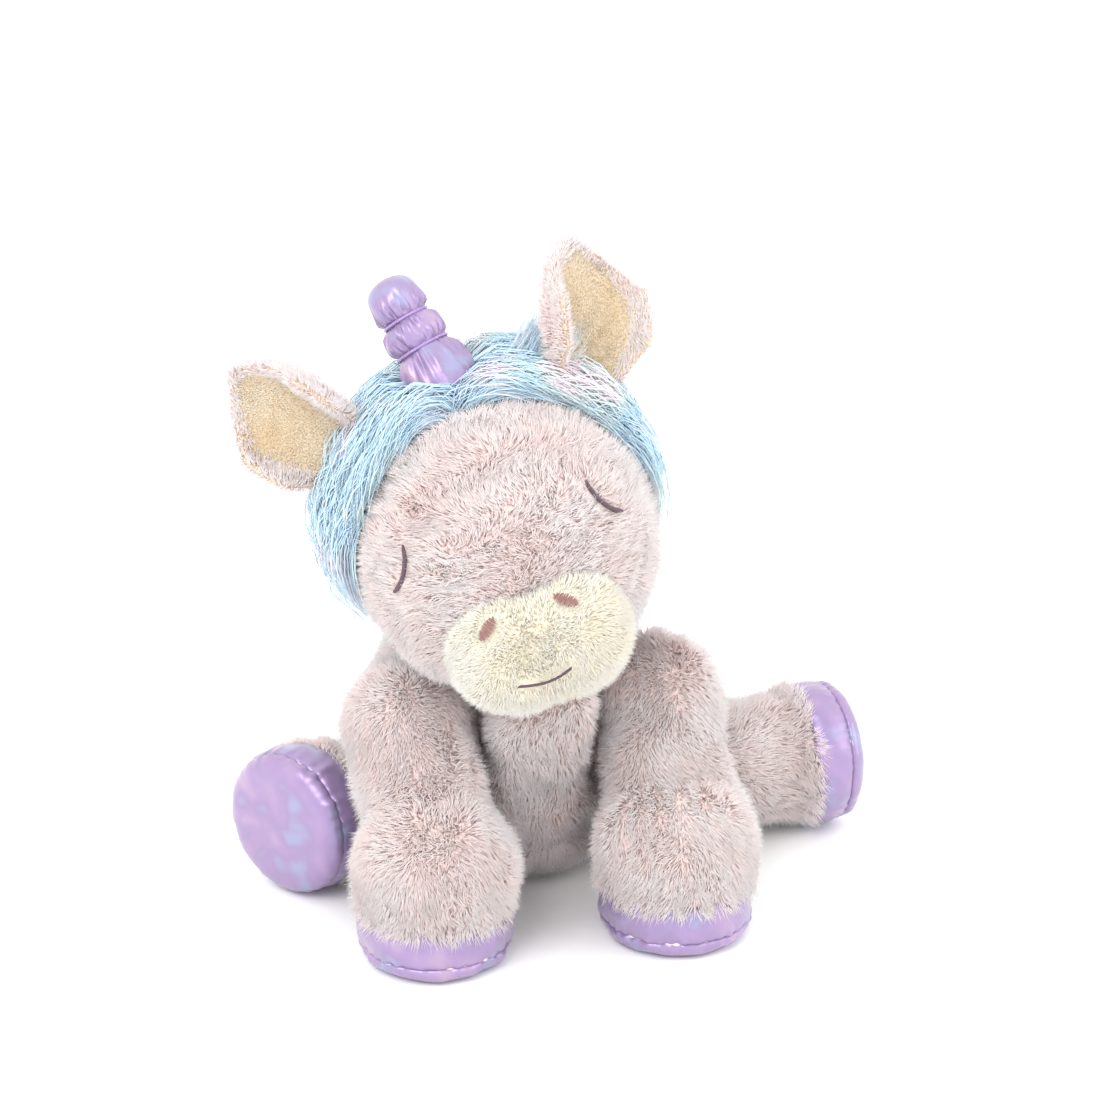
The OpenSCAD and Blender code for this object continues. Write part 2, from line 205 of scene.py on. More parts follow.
def sewn_skin(name, cores, voxel, cap, seam, eases=6):
    """The cloth skin around the stuffing of one or more CAD solids, in even cells, swollen and smoothed."""
    bpy.ops.object.select_all(action="DESELECT")
    for core in cores:
        copy = bpy.data.objects.new(name, nodes[core].data.copy())
        scene.collection.objects.link(copy)
        copy.select_set(True)
        bpy.context.view_layer.objects.active = copy
    if len(cores) > 1:
        bpy.ops.object.join()
    skin = bpy.context.view_layer.objects.active
    skin.name = name
    bpy.ops.object.mode_set(mode="EDIT")
    bpy.ops.mesh.select_all(action="SELECT")
    bpy.ops.mesh.remove_doubles(threshold=1e-5)
    bpy.ops.object.mode_set(mode="OBJECT")
    finish_modifier(skin, "Cells", "REMESH", mode="VOXEL", voxel_size=voxel * MM)
    finish_modifier(skin, "Ease", "SMOOTH", factor=0.5, iterations=eases)
    if cap:
        stuff(skin, cap, seam)
    finish_modifier(skin, "Round", "SUBSURF", levels=1, render_levels=1)
    bpy.ops.object.shade_smooth()
    skin.data.materials.clear()
    return skin


soft_cores = [n for n in nodes if n.endswith("_filling") and n != "neck_filling"]
core_points, core_faces = [], []
for core in soft_cores:
    start = len(core_points)
    core_points += [v.co.copy() for v in nodes[core].data.vertices]
    core_faces += [[start + i for i in p.vertices] for p in nodes[core].data.polygons]
core_tree = BVHTree.FromPolygons(core_points, core_faces)
GOLDEN = PI * (3 - 5 ** 0.5)
SKY = [Vector((math.sqrt(1 - z * z) * math.cos(GOLDEN * i), math.sqrt(1 - z * z) * math.sin(GOLDEN * i), z))
       for i, z in enumerate(np.linspace(0.98, 0.2, 8))]
EYE_RISE, SIGHT = 5.5, 60


def open_share(points, normals):
    """How much of the air over each point is free of stuffing: 0 in a seam between two pieces."""
    shares = np.empty(len(points))
    for i, (p, n) in enumerate(zip(points, normals)):
        turn = Vector((0, 0, 1)).rotation_difference(Vector(n))
        eye = Vector((p + EYE_RISE * n) * MM)
        free = sum(core_tree.ray_cast(eye, turn @ ray, SIGHT * MM)[0] is None for ray in SKY)
        shares[i] = free / len(SKY)
    return shares


def swirl(points, cells, seed, waves=7):
    """A smooth random field of directions that changes over about that many millimetres."""
    rng = np.random.default_rng(seed)
    total = np.zeros_like(points)
    for _ in range(waves):
        wave = rng.normal(size=3)
        wave *= 2 * PI / cells / np.linalg.norm(wave) * rng.uniform(0.7, 1.4)
        total += np.sin(points @ wave + rng.uniform(0, 2 * PI))[:, None] * rng.normal(size=3)
    return total / math.sqrt(waves)


def unit(vectors):
    return vectors / np.maximum(np.linalg.norm(vectors, axis=1, keepdims=True), 1e-9)


def strand_mesh(name, paths, radius, seed):
    """Closed three-sided fibres along the paths, tapering to the tip, each with its own shade as data."""
    many, steps = paths.shape[:2]
    sides = steps - 1
    rng = np.random.default_rng(seed)
    ahead = np.gradient(paths, axis=1)
    ahead /= np.maximum(np.linalg.norm(ahead, axis=2, keepdims=True), 1e-9)
    any_way = unit(rng.normal(size=(many, 3)))[:, None, :]
    across = np.cross(ahead, any_way)
    across /= np.maximum(np.linalg.norm(across, axis=2, keepdims=True), 1e-9)
    up = np.cross(ahead, across)
    taper = (1 - np.linspace(0, 1, steps) ** 1.6)[:sides]
    thick = radius.reshape(-1, 1) * taper[None, :]
    corners = [(math.cos(a), math.sin(a)) for a in (0, 2 * PI / 3, 4 * PI / 3)]
    rings = np.stack([paths[:, :sides] + thick[..., None] * (c * across[:, :sides] + s * up[:, :sides])
                      for c, s in corners], axis=2)
    points = np.concatenate([rings.reshape(many, sides * 3, 3), paths[:, -1:]], axis=1).reshape(-1, 3)
    each = sides * 3 + 1
    quads, thirds = [], [(2, 1, 0)]
    for k in range(sides - 1):
        for j in range(3):
            a, b = 3 * k + j, 3 * k + (j + 1) % 3
            quads += [(a, b, b + 3), (a, b + 3, a + 3)]
    last = 3 * (sides - 1)
    thirds += [(last + j, last + (j + 1) % 3, each - 1) for j in range(3)]
    pattern = np.array(quads + thirds)
    faces = (pattern[None] + (np.arange(many) * each)[:, None, None]).reshape(-1, 3)
    mesh = bpy.data.meshes.new(name)
    mesh.vertices.add(len(points))
    mesh.vertices.foreach_set("co", (points * MM).ravel())
    mesh.loops.add(faces.size)
    mesh.loops.foreach_set("vertex_index", faces.ravel().astype(np.int32))
    mesh.polygons.add(len(faces))
    mesh.polygons.foreach_set("loop_start", np.arange(0, faces.size, 3, dtype=np.int32))
    mesh.update(calc_edges=True)
    mesh.polygons.foreach_set("use_smooth", np.ones(len(faces), bool))
    along = np.append(np.repeat(np.arange(sides) / sides, 3), 1.0)
    own = rng.uniform(size=many)
    data = np.stack([np.tile(along, many), np.repeat(own, each), np.repeat(rng.uniform(size=many), each)], 1)
    mesh.attributes.new("strand", "FLOAT_VECTOR", "POINT").data.foreach_set("vector", data.ravel())
    grid = math.ceil(math.sqrt(many))
    cell_x, cell_y = np.arange(many) % grid, np.arange(many) // grid
    in_x = np.append(np.tile([0.15, 0.5, 0.85], sides), 0.5)
    u = (cell_x[:, None] + in_x[None]) / grid
    v = (cell_y[:, None] + 0.1 + 0.8 * along[None]) / grid
    uv = np.stack([u, v], 2).reshape(-1, 2)[faces.ravel()]
    mesh.uv_layers.new(name="OFBake").data.foreach_set("uv", uv.ravel())
    piece = bpy.data.objects.new(name, mesh)
    scene.collection.objects.link(piece)
    return piece


MOST_STRANDS = 48000
FLOOR_GAP = 0.4


def settle(name, paths, radius, seed, material, body):
    """Makes the strands as pieces of a size that keeps its detail and fixes them to their body."""
    paths[..., 2] = np.maximum(paths[..., 2], FLOOR_GAP)
    parts = math.ceil(len(paths) * (2 * 3 * (paths.shape[1] - 2) + 4) / 4 / MOST_STRANDS)
    for i, some in enumerate(np.array_split(np.arange(len(paths)), parts)):
        label = name if parts == 1 else f"{name}_{i + 1}"
        piece = strand_mesh(label, paths[some], radius[some], seed + 31 * i)
        piece.data.materials.append(material)
        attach(piece, body)


def skin_samples(skin, density, seed, keep):
    """Random points on a skin, density to a square millimetre where keep(points, normals) is 1, in order."""
    mesh = skin.data
    mesh.calc_loop_triangles()
    corners = np.empty(len(mesh.loop_triangles) * 3, np.int32)
    mesh.loop_triangles.foreach_get("vertices", corners)
    corners = corners.reshape(-1, 3)
    points = places(skin)
    normals = np.empty(len(mesh.vertices) * 3)
    mesh.vertices.foreach_get("normal", normals)
    normals = normals.reshape(-1, 3)
    a, b, c = (points[corners[:, k]] for k in range(3))
    area = np.linalg.norm(np.cross(b - a, c - a), axis=1) / 2
    middle, facing = (a + b + c) / 3, unit(normals[corners].sum(1))
    share = keep(middle, facing)
    live = np.flatnonzero(share > 0)
    air = np.zeros(len(middle))
    air[live] = open_share(middle[live], facing[live])
    weight = area * share * (air > 0.1)
    rng = np.random.default_rng(seed)
    many = int(weight.sum() * density)
    pick = rng.choice(len(weight), many, p=weight / weight.sum())
    r1, r2 = np.sqrt(rng.uniform(size=many)), rng.uniform(size=many)
    mix = np.stack([1 - r1, r1 * (1 - r2), r1 * r2], 1)
    roots = np.einsum("ij,ijk->ik", mix, points[corners[pick]])
    stands = unit(np.einsum("ij,ijk->ik", mix, normals[corners[pick]]))
    order = np.lexsort((roots[:, 0], np.round(roots[:, 1] / 4), np.round(roots[:, 2] / 4)))
    return roots[order], stands[order], air[pick][order], rng


def grow_pile(name, skin, comb, body, slot, material, seed, density, length, width, lean, keep, trim=None,
              ruffle=0.62):
    """Short pile over a skin, leaning the way comb(points, normals) gives, in small tufts."""
    roots, stands, air, rng = skin_samples(skin, density, seed, keep)
    flow = comb(roots, stands) + ruffle * swirl(roots, 30, seed) + 0.75 * ruffle * swirl(roots, 8, seed + 1)
    flow += 0.3 * rng.normal(size=roots.shape)
    flow -= stands * np.einsum("ij,ij->i", flow, stands)[:, None]
    grows = unit(stands + lean * flow)
    long = length * rng.uniform(0.75, 1.15, len(roots)) * (0.55 + 0.45 * np.minimum(1, air / 0.5))
    if trim:
        long *= trim(roots)
    tips = roots + grows * long[:, None]
    paths = np.stack([roots - 0.4 * stands, tips], 1)
    settle(name, paths, np.full(len(roots), width / 2), seed, material, body)


pink_pile = pile_material("minky_pile_pink", PINK_ROOT_SHADE, PINK_MID, PINK_TIP, "#FBEEEB")
pink_backing = backing_material("knit_backing_pink", "#F3E2DE", "#E6CDC7")

body_skin = sewn_skin("body_skin", ["body_filling"], 5, 2.0, lambda p: np.abs(p[:, 0]) < 2)
body_skin.data.materials.append(pink_backing)
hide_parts("body_cover", "body_filling")
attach(body_skin, "body")


def down(points, normals):
    return np.tile([0.0, 0.0, -1.0], (len(points), 1))


grow_pile("body_pile", body_skin, down, "body", "pink_pile", pink_pile, 11,
          keep=lambda p, n: (p[:, 2] > 3).astype(float), **BODY_PILE)

# ---------------------------------------------------------------- head
# A ball of the same pink minky, stuffed hard, gathered to the neck so that it leans to one side.
# It rolls in the hollow between the shoulders; its pile is brushed away from the muzzle.
HEAD_AT = np.array([-14.0, -64.0, 163.0])
HEAD_TURN = np.array(Matrix.Rotation(math.radians(-12), 3, "Z") @ Matrix.Rotation(math.radians(-20), 3, "X")
                     @ Matrix.Rotation(math.radians(-19.5), 3, "Y"))
HEAD_R = 60
EYE_ARC_R, EYE_ARC, EYE_SIDE, EYE_UP = 14.5, 84, 53, 11


def to_head(points):
    return (points - HEAD_AT) @ HEAD_TURN


def from_head(local):
    return local @ HEAD_TURN.T + HEAD_AT


def turn_by(axis, degrees):
    return np.array(Matrix.Rotation(math.radians(degrees), 3, axis))


def eye_line(side, steps=40):
    """The line of one shut eye, as directions from the head's centre in the head's own frame."""
    first = (-37 if side == "right" else 217) - EYE_ARC / 2
    angles = np.radians(first + np.linspace(0, EYE_ARC, steps))
    arc = np.stack([EYE_ARC_R * np.cos(angles), np.full(steps, -math.sqrt(HEAD_R ** 2 - EYE_ARC_R ** 2)),
                    EYE_ARC_R * np.sin(angles)], 1)
    turned = turn_by("Z", -EYE_SIDE if side == "right" else EYE_SIDE) @ turn_by("X", -EYE_UP)
    return unit(arc @ turned.T)


def brow_angles(local):
    """Angle round from the crown to the temple, and angle back from the face, in degrees."""
    return (np.degrees(np.arctan2(local[:, 0], local[:, 2])),
            np.degrees(np.arcsin(np.clip(local[:, 1] / np.linalg.norm(local, axis=1), -1, 1))))


def hairline(round_from_crown):
    """How far forward the long hair reaches: an arch over the brow, higher at the toy's left temple."""
    a = np.asarray(round_from_crown, float)
    return np.interp(a, [-95, -60, -35, 0, 20, 45, 65, 80], [6, -22, -28, -26, -22, -15, -4, 6])


head_skin = sewn_skin("head_skin", ["head_filling"], 4, 2.0, lambda p: np.abs(to_head(p)[:, 0]) < 1)
head_skin.data.materials.append(pink_backing)
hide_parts("head_cover", "head_filling")
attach(head_skin, "head")

EYES = np.concatenate([eye_line("right"), eye_line("left")])
HAIR_BACK, HAIR_SIDE = 20, 75


def from_eyes(points):
    """Distance of each point from the nearer eye's line, in millimetres over the head."""
    ways = unit(to_head(points))
    return np.degrees(np.arccos(np.clip((ways @ EYES.T).max(1), -1, 1))) * PI / 180 * HEAD_R


def face_pile(points, normals):
    local = to_head(points)
    a, b = brow_angles(local)
    under_hair = (b > hairline(a) + 5) & (b < HAIR_BACK) & (np.abs(a) < HAIR_SIDE)
    return ((from_eyes(points) > 1.1) & ~under_hair).astype(float)


def away_from_muzzle(points, normals):
    local = to_head(points)
    return unit(local - np.array([0, -60.0, -30.0])) @ HEAD_TURN.T * 0.9


grow_pile("head_pile", head_skin, away_from_muzzle, "head", "pink_pile", pink_pile, 21, keep=face_pile,
          trim=lambda p: np.interp(from_eyes(p), [1.0, 4.5], [0.6, 1.0]), **BODY_PILE)

neck_wad = sewn_skin("neck_wad", ["neck_filling"], 0.7, 0, None, eases=1)
wadding, tree = new_material("polyester_wadding")
fluff = noise_at(tree, 3)
lump = add_node(tree, "ShaderNodeBump", [(fluff, "Fac", "Height")], Strength=0.8, Distance=0.5 * MM)
tint = ramp(tree, fluff, "Fac", [(0.3, "#E4E4E2"), (0.7, "#F7F7F5")])
shader = add_node(tree, "ShaderNodeBsdfPrincipled",
                  [(tint, "Color", "Base Color"), (lump, "Normal", "Normal")], Roughness=0.95)
add_node(tree, "ShaderNodeOutputMaterial", [(shader, "BSDF", "Surface")])
neck_wad.data.materials.append(wadding)
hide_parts("neck_filling")
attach(neck_wad, "neck")

# ---------------------------------------------------------------- muzzle
# A cream panel of shorter minky over a stuffed pad, sewn into the face with its seam turned in.
# The pile is clipped short round the nostrils and the mouth.
muzzle_skin = sewn_skin("muzzle_skin", ["muzzle_filling"], 2.5, 1.0, lambda p: to_head(p)[:, 1] > -44, eases=3)
cream_pile = pile_material("minky_pile_cream", "#EEE6D0", "#FBF7EA", "#FFFEF9", "#FBF6E9")
muzzle_skin.data.materials.append(backing_material("knit_backing_cream", "#EDE8D8", "#DDD5BE"))
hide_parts("muzzle_panel", "muzzle_filling")
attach(muzzle_skin, "head")

NOSTRILS = ((-16.0, -28.5, 40), (14.0, -28.0, -40))
NOSTRIL_LONG, NOSTRIL_WIDE = 4.2, 2.7
MOUTH_X, MOUTH_Z, MOUTH_W, MOUTH_DIP = -2.0, -50.0, 20.0, 1.6
mouth_x = np.linspace(-MOUTH_W / 2, MOUTH_W / 2, 40)
MOUTH = np.stack([MOUTH_X + mouth_x, MOUTH_Z - MOUTH_DIP * (1 - (2 * mouth_x / MOUTH_W) ** 2)], 1)


def nostril_place(local):
    """Where points lie against the nearer nostril's oval: under 1 inside it."""
    shares = []
    for x, z, lean in NOSTRILS:
        c, s = math.cos(math.radians(lean)), math.sin(math.radians(lean))
        dx, dz = local[:, 0] - x, local[:, 2] - z
        shares.append(np.hypot((dx * c + dz * s) / NOSTRIL_LONG, (dz * c - dx * s) / NOSTRIL_WIDE))
    return np.minimum(*shares)


def from_mouth(local):
    gaps = np.hypot(local[:, None, 0] - MOUTH[None, :, 0], local[:, None, 2] - MOUTH[None, :, 1])
    return gaps.min(1)


def muzzle_keep(points, normals):
    local = to_head(points)
    front = local[:, 1] < -50
    return (~front | ((nostril_place(local) > 0.95) & (from_mouth(local) > 0.7))).astype(float)


def muzzle_trim(points):
    local = to_head(points)
    return np.minimum(np.interp(nostril_place(local), [1, 2.2], [0.45, 1.0]),
                      np.interp(from_mouth(local), [0.6, 3.5], [0.5, 1.0]))


def muzzle_comb(points, normals):
    local = to_head(points)
    return unit(local - np.array([0, -70.0, -34.0])) @ HEAD_TURN.T * 0.8


grow_pile("muzzle_pile", muzzle_skin, muzzle_comb, "head", "cream_pile", cream_pile, 31, density=2.6,
          length=4.6, width=0.52, lean=0.9, keep=muzzle_keep, trim=muzzle_trim, ruffle=0.5)

# ---------------------------------------------------------------- stitched face
# Shut eyes, nostrils and mouth in satin stitch: short turns of rayon thread laid side by side
# through the cloth, with the pile clipped short round them.


def skin_tree(skin):
    corners = [v.co for v in skin.data.vertices]
    return BVHTree.FromPolygons(corners, [tuple(p.vertices) for p in skin.data.polygons])


def stitch_row(name, centres, outs, reach, thick, slant, node, colour):
    """Turns of thread across a line, each a slim oval bent over the line."""
    bpy.ops.object.select_all(action="DESELECT")
    bpy.ops.mesh.primitive_uv_sphere_add(segments=8, ring_count=6, radius=1)
    turn = bpy.context.object
    unit_ball = np.array([v.co for v in turn.data.vertices])
    faces = [tuple(p.vertices) for p in turn.data.polygons]
    ahead = unit(np.gradient(centres, axis=0))
    across = np.cross(outs, ahead)
    c, s = math.cos(math.radians(slant)), math.sin(math.radians(slant))
    long_way, wide_way = across * c + ahead * s, ahead * c - across * s
    reach = np.broadcast_to(reach, len(centres))
    points, polygons = [], []
    for i, middle in enumerate(centres):
        polygons += [tuple(len(unit_ball) * i + v for v in f) for f in faces]
        bow = -0.12 * reach[i] * unit_ball[:, :1] ** 2
        points.append(middle + unit_ball[:, :1] * reach[i] * long_way[i]
                      + unit_ball[:, 1:2] * thick * wide_way[i] + (unit_ball[:, 2:] * thick + bow) * outs[i])
    mesh = bpy.data.meshes.new(name)
    mesh.from_pydata((np.concatenate(points) * MM).tolist(), [], polygons)
    only(turn)
    bpy.ops.object.delete()
    piece = bpy.data.objects.new(name, mesh)
    scene.collection.objects.link(piece)
    only(piece)
    bpy.ops.object.shade_smooth()
    piece.data.materials.append(colour)
    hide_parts(node)
    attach(piece, "head")


def thread_material(name, colour, twist_highlight):
    """Rayon embroidery thread: a soft gloss, with a lighter colour painted along the twist as a highlight,
    which repeats about every 0.5 mm.
    """
    material, tree = new_material(name)
    twist = noise_at(tree, 0.5, detail=1)
    # The lighter stop is a painted highlight on the twist.
    tint = ramp(tree, twist, "Fac", [(0.35, colour), (0.75, twist_highlight)])
    bump = add_node(tree, "ShaderNodeBump", [(twist, "Fac", "Height")], Strength=0.4, Distance=0.1 * MM)
    shader = add_node(tree, "ShaderNodeBsdfPrincipled",
                      [(tint, "Color", "Base Color"), (bump, "Normal", "Normal")],
                      Roughness=0.45, Sheen_Weight=0.2)
    add_node(tree, "ShaderNodeOutputMaterial", [(shader, "BSDF", "Surface")])
    return material


dark_thread = thread_material("rayon_thread_plum", "#3A2530", "#5D434F")
brown_thread = thread_material("rayon_thread_brown", "#7A524F", "#9A706B")
head_tree = skin_tree(head_skin)
muzzle_tree = skin_tree(muzzle_skin)


def landed(tree_of_skin, starts, ways, rise):
    """Where rays meet a skin, raised off it by so many millimetres, and the way out there."""
    spots, outs = [], []
    for start, way in zip(starts, ways):
        hit, normal = tree_of_skin.ray_cast(Vector(start * MM), Vector(way))[:2]
        out = np.array(normal)
        spots.append(np.array(hit) / MM + out * rise)
        outs.append(out)
    return np.array(spots), np.array(outs)


EYE_TURNS, NOSTRIL_TURNS = 44, 15
for side in ("right", "left"):
    ways = eye_line(side, EYE_TURNS) @ HEAD_TURN.T
    spots, outs = landed(head_tree, np.tile(HEAD_AT, (EYE_TURNS, 1)), ways, 4.0)
    ends = np.interp(np.linspace(0, 1, EYE_TURNS), [0, 0.12, 0.88, 1], [0.45, 1, 1, 0.45])
    stitch_row(f"eye_{side}", spots, ways, 1.55 * ends, 0.45, 40, f"eye_stitch_{side}",
               dark_thread)

front_way = HEAD_TURN @ np.array([0.0, 1.0, 0.0])
BEFORE_FACE = -110.0
rows, row_outs, row_reach = [], [], []
for x, z, lean in NOSTRILS:
    c, s = math.cos(math.radians(lean)), math.sin(math.radians(lean))
    for u in np.linspace(-0.96, 0.96, NOSTRIL_TURNS):
        start = from_head(np.array([[x + NOSTRIL_LONG * u * c, BEFORE_FACE, z + NOSTRIL_LONG * u * s]]))
        spot, out = landed(muzzle_tree, start, [front_way], 2.8)
        rows.append(spot[0])
        row_outs.append(out[0])
        row_reach.append(NOSTRIL_WIDE * math.sqrt(1 - u * u) + 0.25)
stitch_row("nostrils", np.array(rows), np.array(row_outs), np.array(row_reach), 0.36, 8,
           "nostril_stitches", brown_thread)

starts = from_head(np.stack([MOUTH[:, 0], np.full(len(MOUTH), BEFORE_FACE), MOUTH[:, 1]], 1))
spots, outs = landed(muzzle_tree, starts, np.tile(front_way, (len(MOUTH), 1)), 3.0)
stitch_row("mouth", spots, outs, 0.95, 0.42, 55, "mouth_stitch", dark_thread)

# ---------------------------------------------------------------- legs
# Four tubes of pink minky stuffed with fibre, sewn into the sides of the body; the hind legs lie out
# flat with a seam along them. Each ends in a hoof.
HOOF_R, HOOF_H = 31, 23
FRONT_TOE = {"right": (-49, -88), "left": (50, -88)}
HIND_SOLE = {"right": (-105, -28, 32, 221), "left": (149, 2, 32, 7)}


def hoof_matrix(leg, side):
    """A hoof's own frame: its sole at 0 and its axis up the leg."""
    if leg == "front":
        return Matrix.Translation((*FRONT_TOE[side], 0))
    x, y, z, heading = HIND_SOLE[side]
    return (Matrix.Translation((x, y, z)) @ Matrix.Rotation(math.radians(heading), 4, "Z")
            @ Matrix.Rotation(math.radians(-90), 4, "Y"))


def in_frame(points, matrix):
    back = np.array(matrix.inverted())
    return points @ back[:3, :3].T + back[:3, 3]


def grow_leg(leg, side, seed, cap):
    name = f"{leg}_{side}"
    hoof = hoof_matrix(leg, side)
    toward_hoof = -np.array(hoof.to_3x3() @ Vector((0, 0, 1)))
    flow = np.array([0, -0.25, -1.0]) if leg == "front" else toward_hoof + np.array([0, 0, -0.35])

    def seam(points):
        near_hoof = in_frame(points, hoof)[:, 2] < HOOF_H + 1.5
        return near_hoof | ((leg == "hind") & (np.abs(points[:, 2] - 33) < 1.6) & (points[:, 2] > 5))

    skin = sewn_skin(f"{name}_skin", [f"{name}_filling"], 4, cap, seam, eases=4)
    skin.data.materials.append(pink_backing)
    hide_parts(f"{name}_cover", f"{name}_filling")
    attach(skin, name)

    def above_hoof(points, normals):
        return ((in_frame(points, hoof)[:, 2] > HOOF_H - 0.5) & (points[:, 2] > 3)).astype(float)

    grow_pile(f"{name}_pile", skin, lambda p, n: np.tile(flow, (len(p), 1)), name, "pink_pile", pink_pile, seed,
              keep=above_hoof, **BODY_PILE)


for number, (leg, side, cap) in enumerate((("front", "right", 3.0), ("front", "left", 3.0),
                                           ("hind", "right", 2.0), ("hind", "left", 2.0))):
    grow_leg(leg, side, 41 + 10 * number, cap)

# ---------------------------------------------------------------- hooves
# Lilac foil lame: knitted cloth with a pearly film pressed on. A band and a round sole are sewn
# together, turned and stuffed, so that the foil puckers along both seams.


def foil_material():
    """Foil cloth: half metal, glossy, with pale blue and rose patches painted in as the film's iridescent
    sheen, and creases 2 to 6 mm apart.
    """
    material, tree = new_material("pearl_foil_lilac")
    wide, fine = noise_at(tree, 14, detail=1.5), noise_at(tree, 2.6, detail=4)
    # The blue and rose patches over the lilac are painted iridescent sheen.
    tint = ramp(tree, wide, "Fac", [(0.30, "#9496B8"), (0.44, "#9483AA"), (0.58, "#9C88B0"), (0.74, "#AC96B2")])
    bump = add_node(tree, "ShaderNodeBump", [(fine, "Fac", "Height")], Strength=0.35, Distance=0.5 * MM)
    shader = add_node(tree, "ShaderNodeBsdfPrincipled",
                      [(tint, "Color", "Base Color"), (bump, "Normal", "Normal")],
                      Metallic=0.35, Roughness=0.32, Coat_Weight=0.4, Coat_Roughness=0.25,
                      Thin_Film_Thickness=290.0, Thin_Film_IOR=1.4)
    add_node(tree, "ShaderNodeOutputMaterial", [(shader, "BSDF", "Surface")])
    return material


foil = foil_material()


def lathe(name, profile, sides, tip=True):
    """Rings raised one from the last, from (radius, height) pairs; the last ring may close to a point."""
    bpy.ops.object.select_all(action="DESELECT")
    bpy.ops.mesh.primitive_circle_add(vertices=sides, radius=profile[0][0] * MM, fill_type="NOTHING")
    piece = bpy.context.object
    piece.name = name
    for v in piece.data.vertices:
        v.co.z = profile[0][1] * MM
    bpy.ops.object.mode_set(mode="EDIT")
    bpy.ops.mesh.select_all(action="SELECT")
    for (r0, z0), (r1, z1) in zip(profile, profile[1:]):
        bpy.ops.mesh.extrude_region_move(TRANSFORM_OT_translate={"value": (0, 0, (z1 - z0) * MM)})
        bpy.ops.transform.resize(value=(r1 / r0, r1 / r0, 1))
    if tip:
        bpy.ops.mesh.merge(type="CENTER")
    bpy.ops.mesh.select_all(action="SELECT")
    bpy.ops.mesh.normals_make_consistent(inside=False)
    bpy.ops.object.mode_set(mode="OBJECT")
    return piece


def pleats(angle, seed, count):
    """Uneven pleats round a seam, between -1 and 1."""
    rng = np.random.default_rng(seed)
    total = sum(rng.uniform(0.4, 1) * np.cos(n * angle + rng.uniform(0, 2 * PI))
                for n in rng.integers(count // 2, count, 5))
    return np.clip(total / 2, -1, 1)


def placed(piece, matrix):
    piece.data.transform(Matrix.Scale(MM, 4) @ matrix @ Matrix.Scale(1 / MM, 4))


HOOF_SIDES, HORN_SIDES = 128, 144


def sew_hoof(leg, side, seed):
    name = f"{leg}_{side}"
    seam_z, seam_r = 8.0, HOOF_R - 0.8
    wall_line = [(seam_r - 1.6, seam_z - 0.5), (seam_r, seam_z), (seam_r + 0.9, seam_z + 2.5),
                 (HOOF_R + 0.6, seam_z + 6), (HOOF_R + 0.5, seam_z + 10), (HOOF_R - 0.4, seam_z + 13.5),
                 (HOOF_R - 2.4, HOOF_H + 1.5)]
    sole_line = [(seam_r - 1.6, seam_z + 0.4), (seam_r + 0.1, seam_z - 0.4), (seam_r + 0.3, seam_z - 2.2),
                 (seam_r - 0.8, seam_z - 4.6), (seam_r - 3.2, 1.4), (seam_r - 6.5, 0.4), (seam_r - 12, 0.1),
                 (10, 0.05), (3, 0.05)]
    wall = lathe(f"{name}_hoof_band", wall_line, HOOF_SIDES, tip=False)
    sole = lathe(f"{name}_hoof_sole", sole_line, HOOF_SIDES)
    for number, piece in enumerate((wall, sole)):
        finish_modifier(piece, "Fine", "SUBSURF", levels=1, render_levels=1)
        points = places(piece)
        angle, out = np.arctan2(points[:, 1], points[:, 0]), np.hypot(points[:, 0], points[:, 1])
        near = np.exp(-np.abs(points[:, 2] - seam_z) / 3.2) * (out > HOOF_R - 8)
        top = np.exp(-np.abs(points[:, 2] - HOOF_H) / 4.0) * (number == 0)
        push = 0.55 * near * pleats(angle, seed, 46) + 0.5 * top * pleats(angle, seed + 1, 30)
        push += 0.5 * swirl(points, 13, seed + 2)[:, 0] * (out > HOOF_R - 9)
        side_seam = np.exp(-((angle - 0.6 + PI * (leg == "hind")) / 0.12) ** 2)
        star = side_seam * np.exp(-np.abs(points[:, 2] - seam_z) / 5)
        push -= 1.3 * star * (out > HOOF_R - 10)
        points[:, :2] *= (1 + push / np.maximum(out, 5))[:, None]
        put(piece, points)
        finish_modifier(piece, "Cloth", "SOLIDIFY", thickness=0.5 * MM, offset=-1)
        bpy.ops.object.shade_smooth()
        placed(piece, hoof_matrix(leg, side))
        piece.data.materials.append(foil)
        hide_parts(f"{name}_{('hoof_wall', 'sole')[number]}")
        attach(piece, name)


for number, (leg, side) in enumerate((("front", "right"), ("front", "left"),
                                      ("hind", "right"), ("hind", "left"))):
    sew_hoof(leg, side, 81 + 5 * number)

# ---------------------------------------------------------------- horn
# A cone of the same foil, stuffed, and drawn in twice with sewing thread into three plump bulges
# that pleat where the thread pulls.
HORN_AT = HEAD_TURN @ np.array([-1, -4, math.sqrt(HEAD_R ** 2 - 17)]) + HEAD_AT
HORN_LEAN = -11
HORN_RINGS = (24, 37)
horn_line = [(12, -6), (14.5, -2), (15.6, 3), (15.6, 8), (14.9, 13), (13.4, 18), (11.6, 21.5), (9.9, 23.6),
             (9.9, 24.4), (11.6, 26.3), (12.4, 29.5), (12.0, 32.8), (10.4, 35.4), (8.4, 36.7), (8.4, 37.4),
             (9.9, 39.2), (10.9, 42.5), (10.7, 46.5), (9.3, 50.5), (6.5, 53.6), (3.0, 55.0)]
horn = lathe("horn", horn_line, HORN_SIDES)
finish_modifier(horn, "Fine", "SUBSURF", levels=1, render_levels=1)
points = places(horn)
angle, out = np.arctan2(points[:, 1], points[:, 0]), np.hypot(points[:, 0], points[:, 1])
pleat_rows = ((HORN_RINGS[0] - 5, 6), (HORN_RINGS[0] + 3, 3), (HORN_RINGS[1] + 3, 3), (HORN_RINGS[1] - 3, 3))
